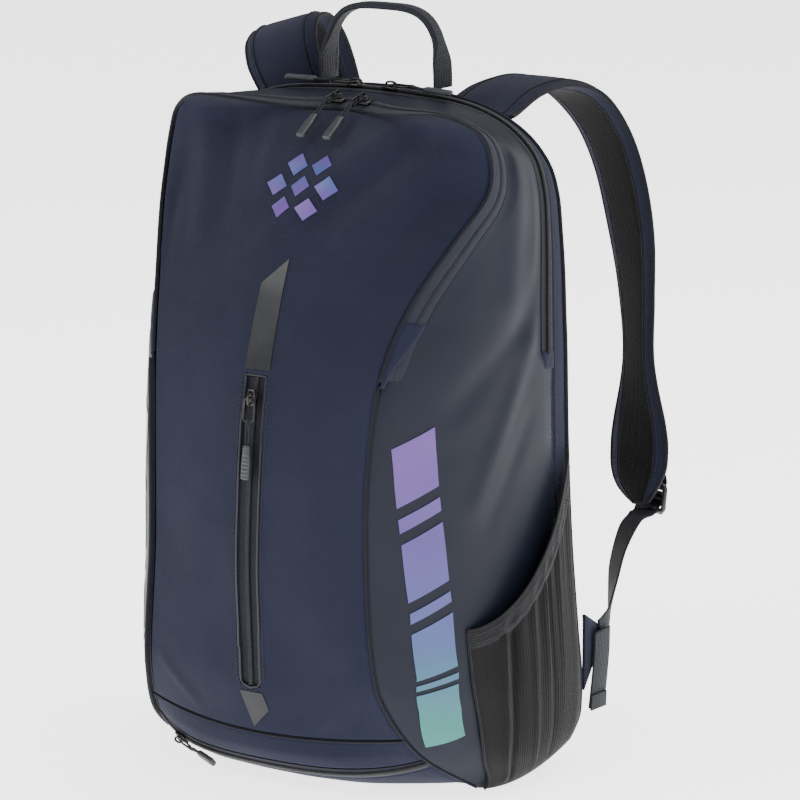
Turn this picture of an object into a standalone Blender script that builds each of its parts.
"""Racket backpack: a soft shell with a fold-down cover, harness, pockets, zips and pulls.

Units are metres, +Z is up, the front faces -Y, and the origin is on the underside of the base.
"_right" pieces are on the +X side, which is the right-hand side for someone looking at the front.
The shell is ruled between two seams that run from the top centre, round the top corners and down:
the front seam and the back seam. A station is a place along both: 0 at the top centre, 15 at the
base, and negative on the -X side. The fold line of both covers is at station 9.
"""

import math

import bmesh
import bpy
from mathutils import Matrix, Vector

# Thicknesses and clearances
PANEL = 0.002
TAPE = 0.0012
BACK_BOARD = 0.003
PAD = 0.0095
STRAP = 0.008
WEBBING = 0.0018
CLEARANCE = 0.0005

# Widths measured over the shell from the front seam (positive) or the back seam (negative)
SEAM_MARGIN = 0.0034
FRONT_TAPE = (0.0034, 0.0084)
REAR_TAPE = (0.0094, 0.0144)
COVER_PANEL = (0.0165, -0.0306)
COVER_TAPE = (-0.0294, -0.0236)
BODY_TAPE = (-0.0230, -0.0172)
GUSSET = (-0.0166, -0.0034)
LOWER_PANEL = (0.0034, -0.0172)

# Stations where pieces begin and end
TOP_SPLIT = 2.6
CUT = 9.0
CUT_GAP = 0.012
BASE = 15.0

# Joint places
FOLD_Z = 0.309
COVER_PIVOT = Vector((0.0, -0.0955, FOLD_Z))
BASE_PIVOT = Vector((0.0, -0.0205, 0.0))
HANDLE_PIVOT = Vector((0.0, 0.0715, 0.4925))
STRAP_SEAM = Vector((0.075, 0.0860, 0.4820))

# The front seam, the shell's knee between the seams, and the back seam's x and z
FRONT_SEAM = [
    (0.000, 0.020, 0.482), (0.040, 0.009, 0.482), (0.080, -0.008, 0.487), (0.109, -0.014, 0.488),
    (0.131, -0.006, 0.477), (0.139, -0.004, 0.457), (0.139, -0.010, 0.434), (0.127, -0.033, 0.404),
    (0.109, -0.063, 0.359), (0.098, -0.083, FOLD_Z), (0.093, -0.091, 0.242), (0.093, -0.092, 0.170),
    (0.098, -0.091, 0.105), (0.104, -0.083, 0.072), (0.117, -0.057, 0.034), (0.135, -0.006, 0.000),
]
KNEE = [
    (0.000, 0.045, 0.496), (0.042, 0.040, 0.494), (0.084, 0.034, 0.492), (0.116, 0.030, 0.483),
    (0.139, 0.030, 0.465), (0.147, 0.030, 0.442), (0.149, 0.024, 0.417), (0.149, 0.006, 0.385),
    (0.148, -0.022, 0.345), (0.145, -0.045, FOLD_Z), (0.144, -0.055, 0.242), (0.146, -0.056, 0.170),
    (0.150, -0.052, 0.105), (0.151, -0.042, 0.068), (0.152, -0.015, 0.022), (0.148, 0.035, -0.006),
]
BACK_SEAM_XZ = [
    (0.000, 0.492), (0.045, 0.490), (0.085, 0.482), (0.115, 0.467),
    (0.134, 0.447), (0.142, 0.425), (0.145, 0.397), (0.147, 0.368),
    (0.148, 0.338), (0.149, FOLD_Z), (0.150, 0.242), (0.153, 0.170),
    (0.158, 0.105), (0.161, 0.070), (0.160, 0.038), (0.152, 0.020),
]
FRONT_CENTRE = [
    (0.020, 0.482), (0.006, 0.475), (-0.018, 0.458), (-0.037, 0.436), (-0.057, 0.404),
    (-0.077, 0.358), (-0.092, FOLD_Z), (-0.102, 0.242), (-0.106, 0.170), (-0.103, 0.105),
    (-0.101, 0.072), (-0.094, 0.030),
]
CENTRE_FIRST = 3

# Straps: centre line, the direction across the strap, and its width
STRAP_RIGHT = [
    ((0.0700, 0.0900, 0.4780), (1.0, 0.0, 0.0), 0.062),
    ((0.0730, 0.1240, 0.4900), (1.0, -0.05, 0.0), 0.062),
    ((0.0800, 0.1580, 0.4930), (1.0, -0.10, 0.0), 0.062),
    ((0.0910, 0.1880, 0.4830), (1.0, -0.20, 0.0), 0.061),
    ((0.1030, 0.2080, 0.4580), (1.0, -0.33, 0.0), 0.060),
    ((0.1120, 0.2210, 0.4220), (1.0, -0.42, 0.0), 0.060),
    ((0.1190, 0.2280, 0.3750), (1.0, -0.48, 0.0), 0.058),
    ((0.1225, 0.2320, 0.3250), (1.0, -0.60, 0.0), 0.051),
    ((0.1250, 0.2320, 0.2780), (1.0, -0.62, 0.0), 0.045),
    ((0.1280, 0.2300, 0.2300), (1.0, -0.38, 0.0), 0.058),
    ((0.1290, 0.2285, 0.2080), (1.0, -0.34, 0.0), 0.062),
    ((0.1300, 0.2260, 0.1880), (1.0, -0.34, 0.0), 0.056),
    ((0.1340, 0.2240, 0.1680), (1.0, -0.34, 0.0), 0.028),
]
STRAP_LEFT = [
    ((-0.0900, 0.0890, 0.4780), (1.0, 0.0, 0.12), 0.058),
    ((-0.0980, 0.0890, 0.4940), (1.0, 0.0, 0.20), 0.060),
    ((-0.1070, 0.0930, 0.5100), (1.0, 0.0, 0.30), 0.064),
    ((-0.1135, 0.1030, 0.5225), (1.0, 0.03, 0.36), 0.066),
    ((-0.1165, 0.1200, 0.5260), (1.0, 0.10, 0.28), 0.065),
    ((-0.1180, 0.1400, 0.5150), (1.0, 0.20, 0.14), 0.063),
    ((-0.1190, 0.1590, 0.4890), (1.0, 0.28, 0.0), 0.060),
    ((-0.1200, 0.1750, 0.4470), (1.0, 0.38, 0.0), 0.058),
    ((-0.1210, 0.1870, 0.3930), (1.0, 0.48, 0.0), 0.055),
    ((-0.1230, 0.1930, 0.3340), (1.0, 0.58, 0.0), 0.049),
    ((-0.1250, 0.1955, 0.2810), (1.0, 0.60, 0.0), 0.046),
    ((-0.1270, 0.1960, 0.2350), (1.0, 0.40, 0.0), 0.058),
    ((-0.1280, 0.1950, 0.2140), (1.0, 0.36, 0.0), 0.062),
    ((-0.1290, 0.1940, 0.1940), (1.0, 0.34, 0.0), 0.056),
    ((-0.1320, 0.1920, 0.1740), (1.0, 0.34, 0.0), 0.028),
]

# Lower webbing: centre line from the ladder lock to the anchor tab, and the direction across it
WEBBING_RIGHT = [
    ((0.1390, 0.2300, 0.1590), (1.0, -0.34, 0.0)), ((0.1380, 0.2170, 0.1600), (1.0, -0.12, 0.08)),
    ((0.1390, 0.1986, 0.1560), (0.93, -0.12, 0.35)), ((0.1460, 0.1691, 0.1386), (0.75, -0.20, 0.62)),
    ((0.1540, 0.1485, 0.1203), (0.60, -0.45, 0.66)), ((0.1610, 0.1309, 0.1030), (0.25, -0.40, 0.88)),
    ((0.1646, 0.1200, 0.0975), (0.0, -0.30, 0.95)), ((0.1650, 0.1110, 0.0950), (0.0, -0.27, 0.96)),
]
WEBBING_LEFT = [
    ((-0.1380, 0.1980, 0.1650), (-1.0, -0.34, 0.0)), ((-0.1380, 0.1880, 0.1650), (-1.0, -0.12, 0.08)),
    ((-0.1400, 0.1760, 0.1600), (-0.93, -0.12, 0.35)), ((-0.1460, 0.1590, 0.1430), (-0.75, -0.20, 0.62)),
    ((-0.1530, 0.1440, 0.1230), (-0.60, -0.45, 0.66)), ((-0.1600, 0.1300, 0.1040), (-0.25, -0.40, 0.88)),
    ((-0.1646, 0.1200, 0.0975), (0.0, -0.30, 0.95)), ((-0.1650, 0.1110, 0.0950), (0.0, -0.27, 0.96)),
]
WEBBING_WIDTH = 0.022
WEBBING_TAIL = [(0.1672, 0.1100, 0.0960), (0.1668, 0.1085, 0.0700), (0.1662, 0.1045, 0.0400)]
ANCHOR_TAB = [(0.0950, 0.112), (0.1135, 0.099), (0.1135, 0.085), (0.0950, 0.056)]
ANCHOR_TAB_X = (0.1605, 0.1635)

# Handle: half the distance between its feet, its height over them, and its webbing's width
HANDLE_HALF = 0.050
HANDLE_HEIGHT = 0.0565
HANDLE_RISE = 0.0030
HANDLE_WIDTH = 0.014
HANDLE_THICKNESS = 0.0040

# Ladder lock: its stand-off from the strap's face, and how far its top bar is above the strap's end
LOCK_OFFSET = 0.0105
LOCK_RAISED = 0.0140
LOCK_THICKNESS = 0.0036
LOCK_ACROSS = (-0.0150, -0.0118, 0.0, 0.0118, 0.0150)
LOCK_DOWN = (0.0, 0.0035, 0.0085, 0.0115, 0.0165, 0.0200)

# Zips, sliders and pulls
ZIP_HALF = 0.0085
ZIP_WINDOW = (9.12, 12.75)
WIRE = 0.0006
WIRE_HEIGHT = 0.0037
BRIDGE_HEIGHT = 0.0054
LOOP_REACH = 0.0170
THREADED = ("front_left", "front_right")
SLIDER_PARENTS = {
    "front_left": "front_flap", "front_right": "front_flap", "main_left": "main_cover",
    "main_right": "main_cover", "pocket": "root", "base": "root",
}

# Mesh pockets and the front panel's lower end
POCKET_BULGE = 0.0125
POCKET_LIFT = 0.0027
LOWER_FRONT_END = 13.60

# Fineness of the shell's lines
LINE_STEPS = 28
STEP = 0.05
STEP_ACROSS = 0.002

# Colours
NAVY = (0.047, 0.052, 0.079)
SLATE = (0.052, 0.057, 0.080)
DARK = (0.026, 0.027, 0.034)
BLACK = (0.012, 0.012, 0.014)
GREY = (0.11, 0.12, 0.14)
METAL = (0.10, 0.10, 0.11)


def clear_scene():
    for thing in list(bpy.data.objects):
        bpy.data.objects.remove(thing, do_unlink=True)


def material(name, colour, roughness, metallic=0.0):
    made = bpy.data.materials.get(name) or bpy.data.materials.new(name)
    made.use_nodes = True
    shader = made.node_tree.nodes["Principled BSDF"]
    shader.inputs["Base Color"].default_value = (*colour, 1.0)
    shader.inputs["Roughness"].default_value = roughness
    shader.inputs["Metallic"].default_value = metallic
    return made


def materials():
    """One material for each kind of finish; every object gets a copy of its own."""
    return {
        "navy_fabric": material("navy_fabric", NAVY, 0.75),
        "coated_fabric": material("coated_fabric", SLATE, 0.45),
        "webbing": material("webbing", DARK, 0.80),
        "mesh": material("mesh", BLACK, 0.90),
        "lining": material("lining", GREY, 0.80),
        "zip_tape": material("zip_tape", DARK, 0.60),
        "moulded": material("moulded", BLACK, 0.40),
        "slider_metal": material("slider_metal", METAL, 0.35, 1.0),
        "board": material("board", GREY, 0.50),
    }


def pivot_empties():
    """The joints' places: each body's pieces hang on an empty at its pivot."""
    empties = {}
    for body, (place, parent) in BODIES.items():
        empty = bpy.data.objects.new("PIVOT_" + body, None)
        bpy.context.scene.collection.objects.link(empty)
        empty.location = place
        if parent:
            empty.parent = empties[parent]
            empty.location = place - BODIES[parent][0]
        empties[body] = empty
    return empties


def add(name, data, body, finish):
    """Link an object whose data is in world coordinates, with its origin on its body's pivot."""
    piece = bpy.data.objects.new(name, data)
    bpy.context.scene.collection.objects.link(piece)
    data.transform(Matrix.Translation(-BODIES[body][0]))
    piece.parent = EMPTIES[body]
    own = FINISHES[finish].copy()
    own.name = name + "_finish"
    data.materials.append(own)
    return piece


def mirrored(point):
    return Vector((-point[0], point[1], point[2]))


def spline(points, t):
    """The smooth curve through the points; t counts points from 0."""
    i = min(max(int(math.floor(t)), 0), len(points) - 2)
    f = t - i
    before = points[max(i - 1, 0)]
    after = points[min(i + 2, len(points) - 1)]
    a, b = points[i], points[i + 1]
    return (
        a + (b - before) * (0.5 * f)
        + (before * 2 - a * 5 + b * 4 - after) * (0.5 * f * f)
        + (a * 3 - before - b * 3 + after) * (0.5 * f * f * f)
    )


def both_sides(half):
    """A seam's points from the -X base, over the top centre, to the +X base."""
    right = [Vector(point) for point in half]
    return [mirrored(point) for point in reversed(right[1:])] + right


def back_y(z):
    """The back panel leans forward a little towards the top."""
    return 0.0920 - 0.0250 * z


def shell_line(station):
    """Points across the shell at a station, from the front seam to the back seam."""
    t = station + BASE
    front, knee, back = (spline(seam, t) for seam in (SEAM, KNEES, BACK))
    line = []
    for k in range(LINE_STEPS + 1):
        w = k / LINE_STEPS
        line.append(front * (1 - w) ** 2 + knee * (2 * w * (1 - w)) + back * w ** 2)
    return line


def along(line, reach):
    """A point at a distance along a line: from its start, or back from its end if negative."""
    lengths = [(b - a).length for a, b in zip(line, line[1:])]
    left = reach if reach >= 0 else sum(lengths) + reach
    for a, b, length in zip(line, line[1:], lengths):
        if left <= length:
            return a.lerp(b, left / length)
        left -= length
    return line[-1].copy()


def shell(station, reach, lift=0.0):
    """A point on the shell, raised off it by lift."""
    here = along(shell_line(station), reach)
    if not lift:
        return here
    down = along(shell_line(station + STEP), reach) - along(shell_line(station - STEP), reach)
    line = shell_line(station)
    back = along(line, reach + STEP_ACROSS) - along(line, reach)
    return here + down.cross(back).normalized() * lift


def across(station, reach, columns, lift=0.0):
    """Points from one reach to another at a station, evenly spaced."""
    line = shell_line(station)
    total = sum((b - a).length for a, b in zip(line, line[1:]))
    start, end = (r if r >= 0 else total + r for r in reach)
    places = [start + (end - start) * k / columns for k in range(columns + 1)]
    return [shell(station, place, lift) for place in places]


def steps(first, last, count):
    return [first + (last - first) * k / count for k in range(count + 1)]


def grid_faces(bm, rows, hole):
    verts = [[bm.verts.new(point) for point in row] for row in rows]
    for r in range(len(rows) - 1):
        for c in range(len(rows[0]) - 1):
            if hole and hole(r, c):
                continue
            bm.faces.new((verts[r][c], verts[r + 1][c], verts[r + 1][c + 1], verts[r][c + 1]))
    loose = [vert for vert in bm.verts if not vert.link_faces]
    bmesh.ops.delete(bm, geom=loose, context="VERTS")


def sheet(name, rows, thickness, body, finish, hole=None):
    """A panel: rows of points on its outer face, as seen from outside, thickened inwards."""
    bm = bmesh.new()
    grid_faces(bm, rows, hole)
    mesh = bpy.data.meshes.new(name)
    bm.to_mesh(mesh)
    bm.free()
    piece = add(name, mesh, body, finish)
    solid = piece.modifiers.new("Thickness", "SOLIDIFY")
    solid.thickness = thickness
    solid.offset = -1.0
    return piece


def shell_sheet(name, stations, reach, columns, thickness, body, finish):
    """A strip of the shell between two reaches."""
    lines = [across(station, reach, columns) for station in stations]
    rows = [[line[columns - r] for line in lines] for r in range(columns + 1)]
    return sheet(name, rows, thickness, body, finish)


def closed_mesh(name, bm, body, finish):
    bmesh.ops.recalc_face_normals(bm, faces=bm.faces)
    mesh = bpy.data.meshes.new(name)
    bm.to_mesh(mesh)
    bm.free()
    return add(name, mesh, body, finish)


def loft(bm, rings):
    """Join rings of points into a closed body with flat ends."""
    verts = [[bm.verts.new(point) for point in ring] for ring in rings]
    for a, b in zip(verts, verts[1:]):
        for k in range(len(a)):
            n = (k + 1) % len(a)
            bm.faces.new((a[k], a[n], b[n], b[k]))
    bm.faces.new(reversed(verts[0]))
    bm.faces.new(verts[-1])


def board(name, outline, outer, thickness, body, finish):
    """A flat piece parallel to the back panel; outline is x and z, outer its stand-off."""
    bm = bmesh.new()
    faces = (outer, outer - thickness)
    loft(bm, [[(x, back_y(z) + y, z) for x, z in outline] for y in faces])
    return closed_mesh(name, bm, body, finish)


def rounded_outline(centre, half, corner, turns=3):
    """A rectangle's outline with round corners, in x and z."""
    points = []
    for quarter, (sx, sz) in enumerate(((1, 1), (-1, 1), (-1, -1), (1, -1))):
        for k in range(turns + 1):
            angle = math.radians(90 * quarter + 90 * k / turns)
            x = centre[0] + sx * (half[0] - corner) + corner * math.cos(angle)
            z = centre[1] + sz * (half[1] - corner) + corner * math.sin(angle)
            points.append((x, z))
    return points


def strip(name, path, thickness, body, finish, rounding=0.35):
    """A flat strap: path gives centre, the direction across it, and its width."""
    bm = bmesh.new()
    centres = [Vector(centre) for centre, _, _ in path]
    rings = []
    for k, (centre, side, width) in enumerate(path):
        ahead = centres[min(k + 1, len(path) - 1)] - centres[max(k - 1, 0)]
        ahead.normalize()
        side = Vector(side)
        side = (side - ahead * side.dot(ahead)).normalized()
        up = side.cross(ahead)
        half, flat = width / 2, thickness / 2
        cut = thickness * rounding
        corners = [
            (half - cut, flat), (cut - half, flat), (-half, flat - cut), (-half, cut - flat),
            (cut - half, -flat), (half - cut, -flat), (half, cut - flat), (half, flat - cut),
        ]
        rings.append([Vector(centre) + side * a + up * b for a, b in corners])
    loft(bm, rings)
    return closed_mesh(name, bm, body, finish)


def tube(name, points, radius, body, finish, resolution=2):
    """A round piping or cord through the points."""
    curve = bpy.data.curves.new(name, "CURVE")
    curve.dimensions = "3D"
    curve.bevel_depth = radius
    curve.bevel_resolution = resolution
    curve.use_fill_caps = True
    line = curve.splines.new("POLY")
    line.points.add(len(points) - 1)
    for knot, point in zip(line.points, points):
        knot.co = (*point, 1.0)
    return add(name, curve, body, finish)


# ---- Lower body, fixed to the back ---------------------------------------------------------


def seam_outline(inset):
    """The back seam's outline in x and z, moved in towards its middle."""
    middle, half_width, half_height = 0.256, 0.158, 0.236
    right = []
    for x, z in BACK_SEAM_XZ:
        right.append((x * (1 - inset / half_width), middle + (z - middle) * (1 - inset / half_height)))
    left = [(-x, z) for x, z in reversed(right[1:])]
    return right + left


def make_back():
    board("back_panel", seam_outline(0.0040), 0.0, BACK_BOARD, "root", "navy_fabric")
    board("frame_sheet", seam_outline(0.0200), -0.0040, 0.0015, "root", "board")
    outer = PAD + CLEARANCE
    for name, side in (("back_pad_left", -1), ("back_pad_right", 1)):
        shape = rounded_outline((side * 0.058, 0.272), (0.044, 0.145), 0.020)
        board(name, shape, outer, PAD, "root", "mesh")
    shape = rounded_outline((0.0, 0.082), (0.102, 0.032), 0.018)
    board("lumbar_pad", shape, outer, PAD, "root", "mesh")
    shape = rounded_outline((0.0, 0.255), (0.115, 0.150), 0.015)
    board("inner_sleeve", shape, -0.0220, 0.0040, "root", "lining")


def make_body_sides():
    for name, sign in (("left", -1), ("right", 1)):
        ends = (sign * (TOP_SPLIT + CUT_GAP), sign * (BASE - 0.06))
        stations = steps(min(ends), max(ends), 15)
        shell_sheet("rear_gusset_" + name, stations, GUSSET, 1, PANEL, "root", "navy_fabric")
        ends = (sign * (CUT + CUT_GAP), sign * (BASE - 0.06))
        stations = steps(min(ends), max(ends), 7)
        shell_sheet("side_panel_lower_" + name, stations, LOWER_PANEL, 6, PANEL, "root",
                    "coated_fabric")
    stations = steps(-TOP_SPLIT + CUT_GAP, TOP_SPLIT - CUT_GAP, 6)
    shell_sheet("rear_gusset_top", stations, GUSSET, 1, PANEL, "root", "navy_fabric")
    stations = steps(CUT_GAP - CUT, CUT - CUT_GAP, 36)
    shell_sheet("main_zip_rear_tape", stations, BODY_TAPE, 1, TAPE, "root", "zip_tape")


def front_point(station, x, lift=0.0):
    """A point on the front panel, x metres from its centre line."""
    t = station + BASE
    edge = spline(SEAM, t)
    centre = spline(CENTRE, station - CENTRE_FIRST)
    share = min(abs(x) / edge.x, 1.0)
    power = 1.3 + 0.7 * min(max((station - 4.0) / 5.0, 0.0), 1.0)
    blend = share ** power
    y = centre.y + (edge.y - centre.y) * blend
    z = centre.z + (edge.z - centre.z) * blend
    return Vector((x, y - lift, z))


def front_row(station, inner, lift=0.0):
    """A row of points across the front panel, with fixed columns at the pocket's zip."""
    corner = 0.0030 * min(max(5.5 - station, 0.0), 1.0)
    edge = spline(SEAM, station + BASE).x - SEAM_MARGIN - corner
    right = [inner + (edge - inner) * share for share in (0.0, 0.25, 0.5, 0.75, 1.0)]
    columns = [-x for x in reversed(right)] + right
    return [front_point(station, x, lift) for x in columns]


def make_front_lower():
    window = ZIP_WINDOW
    rows = [CUT + CUT_GAP, window[0], 10.0, 11.0, 12.0, window[1], 13.1, LOWER_FRONT_END]
    middle = 4

    def zip_window(r, c):
        return c == middle and window[0] <= rows[r] < window[1]

    sheet("front_panel_lower", [front_row(s, ZIP_HALF + CLEARANCE) for s in rows], PANEL, "root",
          "navy_fabric", zip_window)
    stations = steps(window[0] + 0.02, window[1] - 0.02, 8)
    tape = [[front_point(s, x, -0.0004) for x in (-ZIP_HALF, 0.0, ZIP_HALF)] for s in stations]
    sheet("pocket_zip_tape", tape, TAPE, "root", "zip_tape")
    make_welt(window)
    bag = []
    for station in (9.3, 10.0, 11.0, 12.0, 12.75):
        row = [front_point(station, x, -0.0260) for x in (-0.060, -0.02, 0.02, 0.060)]
        bag.append(row)
    sheet("front_pocket_lining", bag, TAPE, "root", "lining")


def make_welt(window):
    """The raised frame round the pocket's zip."""
    inner, outer = ZIP_HALF + 0.0008, ZIP_HALF + 0.0040
    ends = (window[0] - 0.05, window[0] + 0.03, 10.0, 11.0, 12.0, window[1] - 0.03, window[1] + 0.05)
    rows = []
    for station in ends:
        rows.append([front_point(station, x, 0.0016) for x in (-outer, -inner, inner, outer)])
    sheet("pocket_zip_welt", rows, TAPE, "root", "moulded",
          lambda r, c: c == 1 and 0 < r < len(ends) - 2)


def wrap_point(b, u):
    """The underside's wrap, from the front seam (b = 0) down and back to the hinge (b = 1)."""
    edge_start, edge_end = 13.80, 14.74
    edge = spline(SEAM, edge_start + (edge_end - edge_start) * b + BASE)
    edge.x -= SEAM_MARGIN
    top = Vector((0.0, -0.0970, 0.0440))
    nose = Vector((0.0, -0.0930, 0.0))
    centre = top * (1 - b) ** 2 + nose * (2 * b * (1 - b)) + BASE_PIVOT * b ** 2
    side = abs(u)
    y = centre.y + (edge.y - centre.y) * side ** 2.4
    z = centre.z + (edge.z - centre.z) * side ** 4
    return Vector((u * edge.x, y, z))


def wrap_sheet(name, first, last, rows, thickness, body, finish):
    columns = (-1.0, -0.9, -0.75, -0.5, 0.0, 0.5, 0.75, 0.9, 1.0)
    grid = [[wrap_point(b, u) for u in columns] for b in steps(first, last, rows)]
    return sheet(name, grid, thickness, body, finish)


def make_base():
    wrap_sheet("base_strip", 0.03, 0.30, 2, PANEL, "root", "navy_fabric")
    wrap_sheet("base_zip_upper_tape", 0.315, 0.375, 1, TAPE, "root", "zip_tape")
    wrap_sheet("base_zip_lower_tape", 0.390, 0.450, 1, TAPE, "base_flap", "zip_tape")
    wrap_sheet("base_flap_panel", 0.465, 0.985, 4, PANEL, "base_flap", "navy_fabric")
    make_base_rear()


def make_base_rear():
    """The fixed rear part of the underside: flat, then turned up to the back panel."""
    flat = 0.72
    profile = [
        (-0.0195, -0.0140, 0.0, 0.127, 0.0080), (0.0000, 0.0000, 0.0, 0.131, 0.0010),
        (0.0300, 0.0300, 0.0, 0.137, 0.0), (0.0790, 0.0760, 0.0, 0.143, 0.0060),
        (0.0860, 0.0840, 0.0035, 0.145, 0.0110), (0.0885, 0.0870, 0.0150, 0.146, 0.0190),
    ]
    columns = (-1.0, -0.9, -flat, 0.0, flat, 0.9, 1.0)
    rows = []
    for y, edge_y, low, half, edge_z in profile:
        row = []
        for u in columns:
            turned = max(abs(u) - flat, 0.0) / (1.0 - flat)
            row.append((u * half, y + (edge_y - y) * turned, low + (edge_z - low) * turned))
        rows.append(row)
    sheet("base_rear", rows, 0.0025, "root", "navy_fabric")


def make_inside():
    """The walls inside: a divider behind the front compartment, and the shoe compartment's roof."""
    rows = [[(x, -0.025 + 0.005 * r, 0.3070 - 0.0755 * r) for x in (-0.121, 0.0, 0.121)]
            for r in range(4)]
    sheet("divider_lower", rows, TAPE, "root", "lining")
    shelf = []
    for y, half in ((0.0840, 0.150), (0.0300, 0.143), (-0.0200, 0.128), (-0.0600, 0.108),
                    (-0.0810, 0.088)):
        shelf.append([(x, y, 0.0760) for x in (-half, 0.0, half)])
    sheet("shoe_shelf", shelf, PANEL, "root", "lining")


def pocket_point(column, row, sign):
    """The mesh pocket: column 0 at its front edge, 1 at its back; row 0 at its mouth, 1 at the base."""
    mouth = 11.65 - 1.60 * column ** 1.7
    station = mouth + (BASE - 0.08 - mouth) * row
    line = shell_line(sign * station)
    total = sum((b - a).length for a, b in zip(line, line[1:]))
    start = 0.075 - 0.071 * row ** 3.2
    reach = start + (total - 0.004 - start) * column
    bulge = math.sin(math.pi * column) ** 0.7
    fall = 1.0 - row ** 4
    return shell(sign * station, reach, POCKET_LIFT + POCKET_BULGE * bulge * fall)


def make_mesh_pockets():
    columns = steps(0.0, 1.0, 7)
    rows = (0.0, 0.08, 0.3, 0.55, 0.8, 1.0)
    for name, sign in (("left", -1), ("right", 1)):
        order = columns if sign > 0 else list(reversed(columns))
        grid = [[pocket_point(c, r, sign) for c in order] for r in rows]
        sheet("mesh_pocket_" + name, grid[1:], 0.0015, "root", "mesh")
        band = [[pocket_point(c, r, sign) for c in order] for r in (0.0, 0.068)]
        sheet("pocket_elastic_" + name, band, 0.0020, "root", "webbing")


# ---- Covers ------------------------------------------------------------------------------


def make_cover():
    """The cover of the main compartment: the shell's upper part in front of the main zip."""
    for name, sign in (("left", -1), ("right", 1)):
        ends = (sign * (TOP_SPLIT + CUT_GAP), sign * (CUT - CUT_GAP))
        stations = steps(min(ends), max(ends), 8)
        shell_sheet("side_panel_upper_" + name, stations, COVER_PANEL, 4, PANEL, "main_cover",
                    "coated_fabric")
    stations = steps(-TOP_SPLIT + CUT_GAP, TOP_SPLIT - CUT_GAP, 6)
    shell_sheet("top_panel", stations, COVER_PANEL, 2, PANEL, "main_cover", "coated_fabric")
    stations = steps(CUT_GAP - CUT, CUT - CUT_GAP, 36)
    shell_sheet("main_zip_front_tape", stations, COVER_TAPE, 1, TAPE, "main_cover", "zip_tape")
    shell_sheet("front_zip_rear_tape", stations, REAR_TAPE, 1, TAPE, "main_cover", "zip_tape")
    rows = []
    for z, y, half in ((0.473, 0.036, 0.098), (0.452, 0.030, 0.119), (0.425, 0.022, 0.127),
                       (0.380, 0.005, 0.129), (0.3105, -0.024, 0.121)):
        rows.append([(x, y, z) for x in (-half, 0.0, half)])
    sheet("divider_upper", rows, TAPE, "main_cover", "lining")


def make_flap():
    """The front compartment's flap, inside its zip."""
    rows = (3.65, 4.2, 5.0, 6.0, 7.0, 8.0, CUT - CUT_GAP)
    sheet("front_flap_panel", [front_row(s, 0.012) for s in rows], PANEL, "front_flap",
          "navy_fabric")
    stations = steps(CUT_GAP - CUT, CUT - CUT_GAP, 36)
    shell_sheet("front_zip_front_tape", stations, FRONT_TAPE, 1, TAPE, "front_flap", "zip_tape")
    rim = [shell(s, 0.0, 0.0) for s in steps(0.05 - CUT, CUT - 0.05, 40)]
    tube("front_piping", rim, 0.0013, "front_flap", "moulded")


# ---- Handle and harness ---------------------------------------------------------------------


def make_handle():
    """A webbing loop: upright at its feet and rounded over the top."""
    path = []
    for angle in steps(-90, 90, 16):
        a = math.radians(angle)
        x = HANDLE_HALF * math.copysign(abs(math.sin(a)) ** 0.55, a)
        z = HANDLE_PIVOT.z + HANDLE_RISE + HANDLE_HEIGHT * max(math.cos(a), 0.0) ** 0.75
        path.append(((x, HANDLE_PIVOT.y, z), (0.0, 1.0, 0.0), HANDLE_WIDTH))
    strip("top_handle", path, HANDLE_THICKNESS, "handle", "webbing")


def lock_place(path, sign):
    """The middle of a ladder lock's top bar, the direction along the bar, and the way down."""
    end, side, _ = path[-1]
    side = Vector(side).normalized()
    down = Vector((0.02 * sign, -0.10, -1.0))
    down = (down - side * down.dot(side)).normalized()
    outward = side.cross(down).normalized()
    return Vector(end) + outward * LOCK_OFFSET - down * LOCK_RAISED, side, down


def make_strap(name, path, sign):
    strip("strap_pad_" + name, path, STRAP, "strap_" + name, "navy_fabric")
    make_ladder_lock(name, *lock_place(path, sign))


def make_ladder_lock(name, start, side, down):
    """A frame with three bars; the webbing goes over the middle one."""
    outer = start + side.cross(down).normalized() * (LOCK_THICKNESS / 2)
    rows = [[outer + side * x + down * z for x in LOCK_ACROSS] for z in LOCK_DOWN]
    sheet("ladder_lock_" + name, rows, LOCK_THICKNESS, "ladder_" + name, "moulded",
          lambda r, c: c in (1, 2) and r in (1, 3))


def make_webbing(name, centres, sign):
    """The lower webbing from the ladder lock to the anchor tab, and its loose tail."""
    path = [(Vector(centre), side, WEBBING_WIDTH) for centre, side in centres]
    strip("lower_webbing_" + name, path, WEBBING, "root", "webbing")
    bm = bmesh.new()
    loft(bm, [[(sign * x, y, z) for y, z in ANCHOR_TAB] for x in ANCHOR_TAB_X])
    closed_mesh("anchor_tab_" + name, bm, "root", "navy_fabric")
    tail = [(Vector((sign * x, y, z)), (0.0, 1.0, 0.0), WEBBING_WIDTH) for x, y, z in WEBBING_TAIL]
    strip("webbing_tail_" + name, tail, WEBBING, "root", "webbing")


# ---- Sliders and pulls ----------------------------------------------------------------------


def extruded(name, outline, frame, half, body):
    """A side profile, along the zip and out from it, given a width across the zip."""
    place, ahead, up = frame
    side = ahead.cross(up)
    bm = bmesh.new()
    rings = []
    for offset in (-half, half):
        rings.append([place + ahead * a + up * h + side * offset for a, h in outline])
    loft(bm, rings)
    return closed_mesh(name, bm, body, "slider_metal")


def unite(piece, other):
    """Join another closed shape to a piece; the other then only guides the Boolean."""
    other.hide_render = True
    other.display_type = "WIRE"
    join = piece.modifiers.new("Join", "BOOLEAN")
    join.operation = "UNION"
    join.object = other


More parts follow.
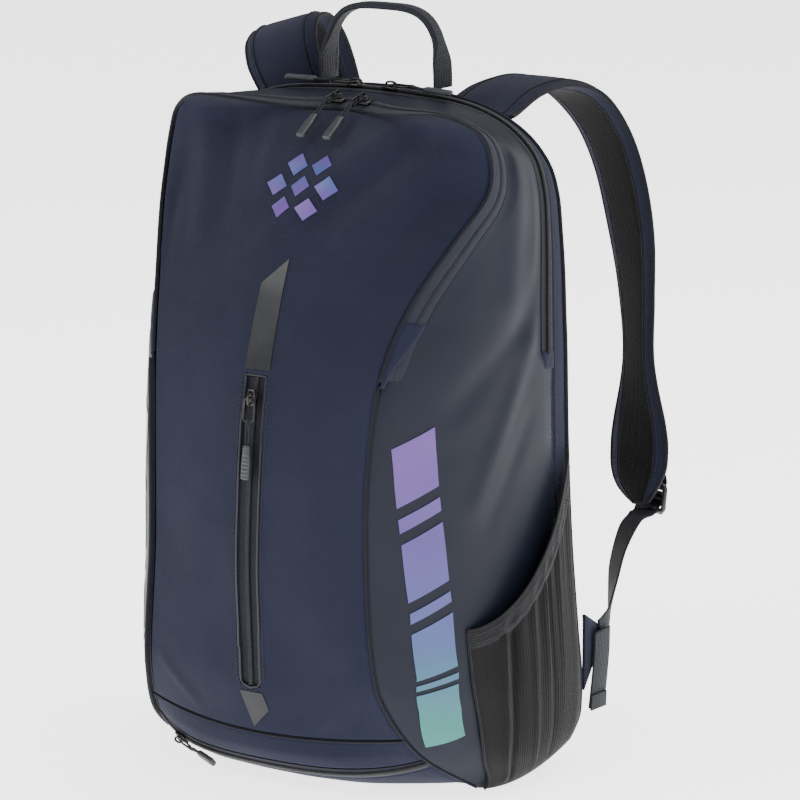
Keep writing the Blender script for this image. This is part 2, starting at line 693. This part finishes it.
def make_slider(name, frame):
    """A slider's body with a narrow hooked bridge, open at one end for the puller's wire."""
    body = name + "_slider"
    plate = [(-0.0060, 0.0), (0.0060, 0.0), (0.0052, 0.0022), (-0.0052, 0.0022)]
    hook = [
        (-0.0048, 0.0018), (-0.0032, 0.0018), (-0.0032, 0.0048), (0.0034, 0.0048),
        (0.0034, 0.0030), (0.0046, 0.0030), (0.0046, 0.0060), (-0.0048, 0.0060),
    ]
    piece = extruded(body, plate, frame, 0.0036, body)
    unite(piece, extruded(name + "_bridge_shape", hook, frame, 0.0012, body))


def pull_pivot(slider):
    """Where a pull turns: in the gap under the bridge, or round the bridge for a threaded loop."""
    place, _, up = FRAMES[slider]
    return place + up * (BRIDGE_HEIGHT if slider in THREADED else WIRE_HEIGHT)


def loop_route(half, reach):
    """A wire loop's centre line, from its closed end: across it and along it."""
    corner = half * 0.6
    route = []
    for quarter, (a, b) in enumerate(((1, 1), (-1, 1), (-1, -1), (1, -1))):
        for k in range(3):
            angle = math.radians(90 * quarter + 45 * k)
            x = a * (half - corner) + corner * math.cos(angle)
            z = b * (reach / 2 - corner) + corner * math.sin(angle)
            route.append((x, z + reach / 2))
    return route


def make_pull(name, frame, lean, drop, length):
    """A wire loop on the slider's bridge, then a short cord into a moulded grip."""
    up = frame[2]
    lean.normalize()
    side = lean.cross(up).normalized()
    start = pull_pivot(name)
    half = 0.0045
    short = side
    if name in THREADED:
        half, short = 0.0020, up
        start -= lean * 0.0024
    outward = short.cross(lean).normalized()
    route = loop_route(half, LOOP_REACH)
    bm = bmesh.new()
    rings = []
    for k, (x, z) in enumerate(route):
        next_x, next_z = route[(k + 1) % len(route)]
        last_x, last_z = route[k - 1]
        tangent = (short * (next_x - last_x) + lean * (next_z - last_z)).normalized()
        normal = tangent.cross(outward).normalized()
        middle = start + short * x + lean * z
        ring = []
        for turn in range(6):
            c, s = math.cos(math.radians(60 * turn)), math.sin(math.radians(60 * turn))
            ring.append(bm.verts.new(middle + normal * (WIRE * c) + outward * (WIRE * s)))
        rings.append(ring)
    for a, b in zip(rings, rings[1:] + rings[:1]):
        for m in range(6):
            n = (m + 1) % 6
            bm.faces.new((a[m], a[n], b[n], b[m]))
    loop = closed_mesh(name + "_pull", bm, name + "_pull", "moulded")
    make_grip(name, loop, start + lean * (LOOP_REACH - 0.0004), side, drop, length)


def make_grip(name, loop, top, side, drop, length):
    """The cord and grip, joined to the wire loop."""
    drop.normalize()
    side = (side - drop * side.dot(drop)).normalized()
    outward = side.cross(drop).normalized()
    profile = [
        (0.0, 0.0010, 0.0010), (length * 0.38, 0.0010, 0.0010), (length * 0.42, 0.0026, 0.0016),
        (length * 0.70, 0.0034, 0.0021), (length * 0.97, 0.0032, 0.0020), (length, 0.0024, 0.0012),
    ]
    rings = []
    for z, wide, thick in profile:
        ring = []
        for k in range(8):
            a = math.radians(45 * k + 22.5)
            offset = side * (wide * math.cos(a)) + outward * (thick * math.sin(a))
            ring.append(top + drop * z + offset)
        rings.append(ring)
    bm = bmesh.new()
    loft(bm, rings)
    unite(loop, closed_mesh(name + "_grip_shape", bm, name + "_pull", "moulded"))


def slider_frames():
    """Each slider's place, the direction it points, and the way out from the shell."""
    frames = {}
    for name, station in (("front_left", -0.28), ("front_right", 0.28)):
        place = shell(station, 0.0087, 0.0009)
        ahead = Vector((math.copysign(1.0, station), 0.0, 0.0))
        up = Vector((0.0, -0.25, 1.0))
        frames[name] = (place, ahead, up)
    for name, station in (("main_left", -0.35), ("main_right", 0.35)):
        place = shell(station, -0.0233, 0.0009)
        ahead = Vector((math.copysign(1.0, station), 0.0, 0.0))
        frames[name] = (place, ahead, Vector((0.0, 0.0, 1.0)))
    place = front_point(9.30, 0.0, 0.0024)
    frames["pocket"] = (place, Vector((0.0, 0.0, -1.0)), Vector((0.0, -1.0, 0.0)))
    place = wrap_point(0.3825, -0.72) + Vector((0.0, -0.0011, -0.0006))
    frames["base"] = (place, Vector((1.0, -0.45, -0.1)), Vector((0.0, -0.80, -0.60)))
    for name, (place, ahead, up) in frames.items():
        ahead.normalize()
        up = (up - ahead * up.dot(ahead)).normalized()
        frames[name] = (place, ahead, up)
    return frames


def make_sliders():
    """Each pull: where its wire loop leans, where its grip hangs, and the grip's length."""
    level = Vector((0.0, -0.97, -0.24))
    over_front = Vector((0.0, -0.84, -0.54))
    hangs = {
        "front_left": (level, over_front, 0.040),
        "front_right": (level, over_front, 0.040),
        "main_left": (Vector((-1.0, -0.12, 0.0)), Vector((-1.0, -0.20, 0.02)), 0.040),
        "main_right": (Vector((1.0, -0.10, 0.0)), Vector((1.0, -0.15, -0.03)), 0.040),
        "pocket": (Vector((0.0, -0.10, -1.0)), Vector((0.0, -0.10, -1.0)), 0.042),
        "base": (Vector((1.0, -0.45, -0.1)), Vector((1.0, -0.45, -0.1)), 0.034),
    }
    for name, frame in FRAMES.items():
        make_slider(name, frame)
        lean, drop, length = hangs[name]
        make_pull(name, frame, lean.copy(), drop.copy(), length)


# ---- Places worked out from the lists above --------------------------------------------------


SEAM = both_sides(FRONT_SEAM)
KNEES = both_sides(KNEE)
BACK = both_sides([(x, back_y(z), z) for x, z in BACK_SEAM_XZ])
CENTRE = [Vector((0.0, y, z)) for y, z in FRONT_CENTRE]
FRAMES = slider_frames()
BODIES = {
    "root": (Vector((0.0, 0.0, 0.0)), None),
    "main_cover": (COVER_PIVOT, "root"),
    "front_flap": (COVER_PIVOT, "main_cover"),
    "base_flap": (BASE_PIVOT, "root"),
    "handle": (HANDLE_PIVOT, "root"),
    "strap_left": (mirrored(STRAP_SEAM), "root"),
    "strap_right": (STRAP_SEAM, "root"),
    "ladder_left": (lock_place(STRAP_LEFT, -1)[0], "strap_left"),
    "ladder_right": (lock_place(STRAP_RIGHT, 1)[0], "strap_right"),
}
for slider, carrier in SLIDER_PARENTS.items():
    BODIES[slider + "_slider"] = (FRAMES[slider][0], carrier)
    BODIES[slider + "_pull"] = (pull_pivot(slider), slider + "_slider")

clear_scene()
FINISHES = materials()
EMPTIES = pivot_empties()
make_back()
make_body_sides()
make_front_lower()
make_base()
make_inside()
make_mesh_pockets()
make_cover()
make_flap()
make_handle()
make_strap("left", STRAP_LEFT, -1)
make_strap("right", STRAP_RIGHT, 1)
make_webbing("left", WEBBING_LEFT, -1)
make_webbing("right", WEBBING_RIGHT, 1)
make_sliders()
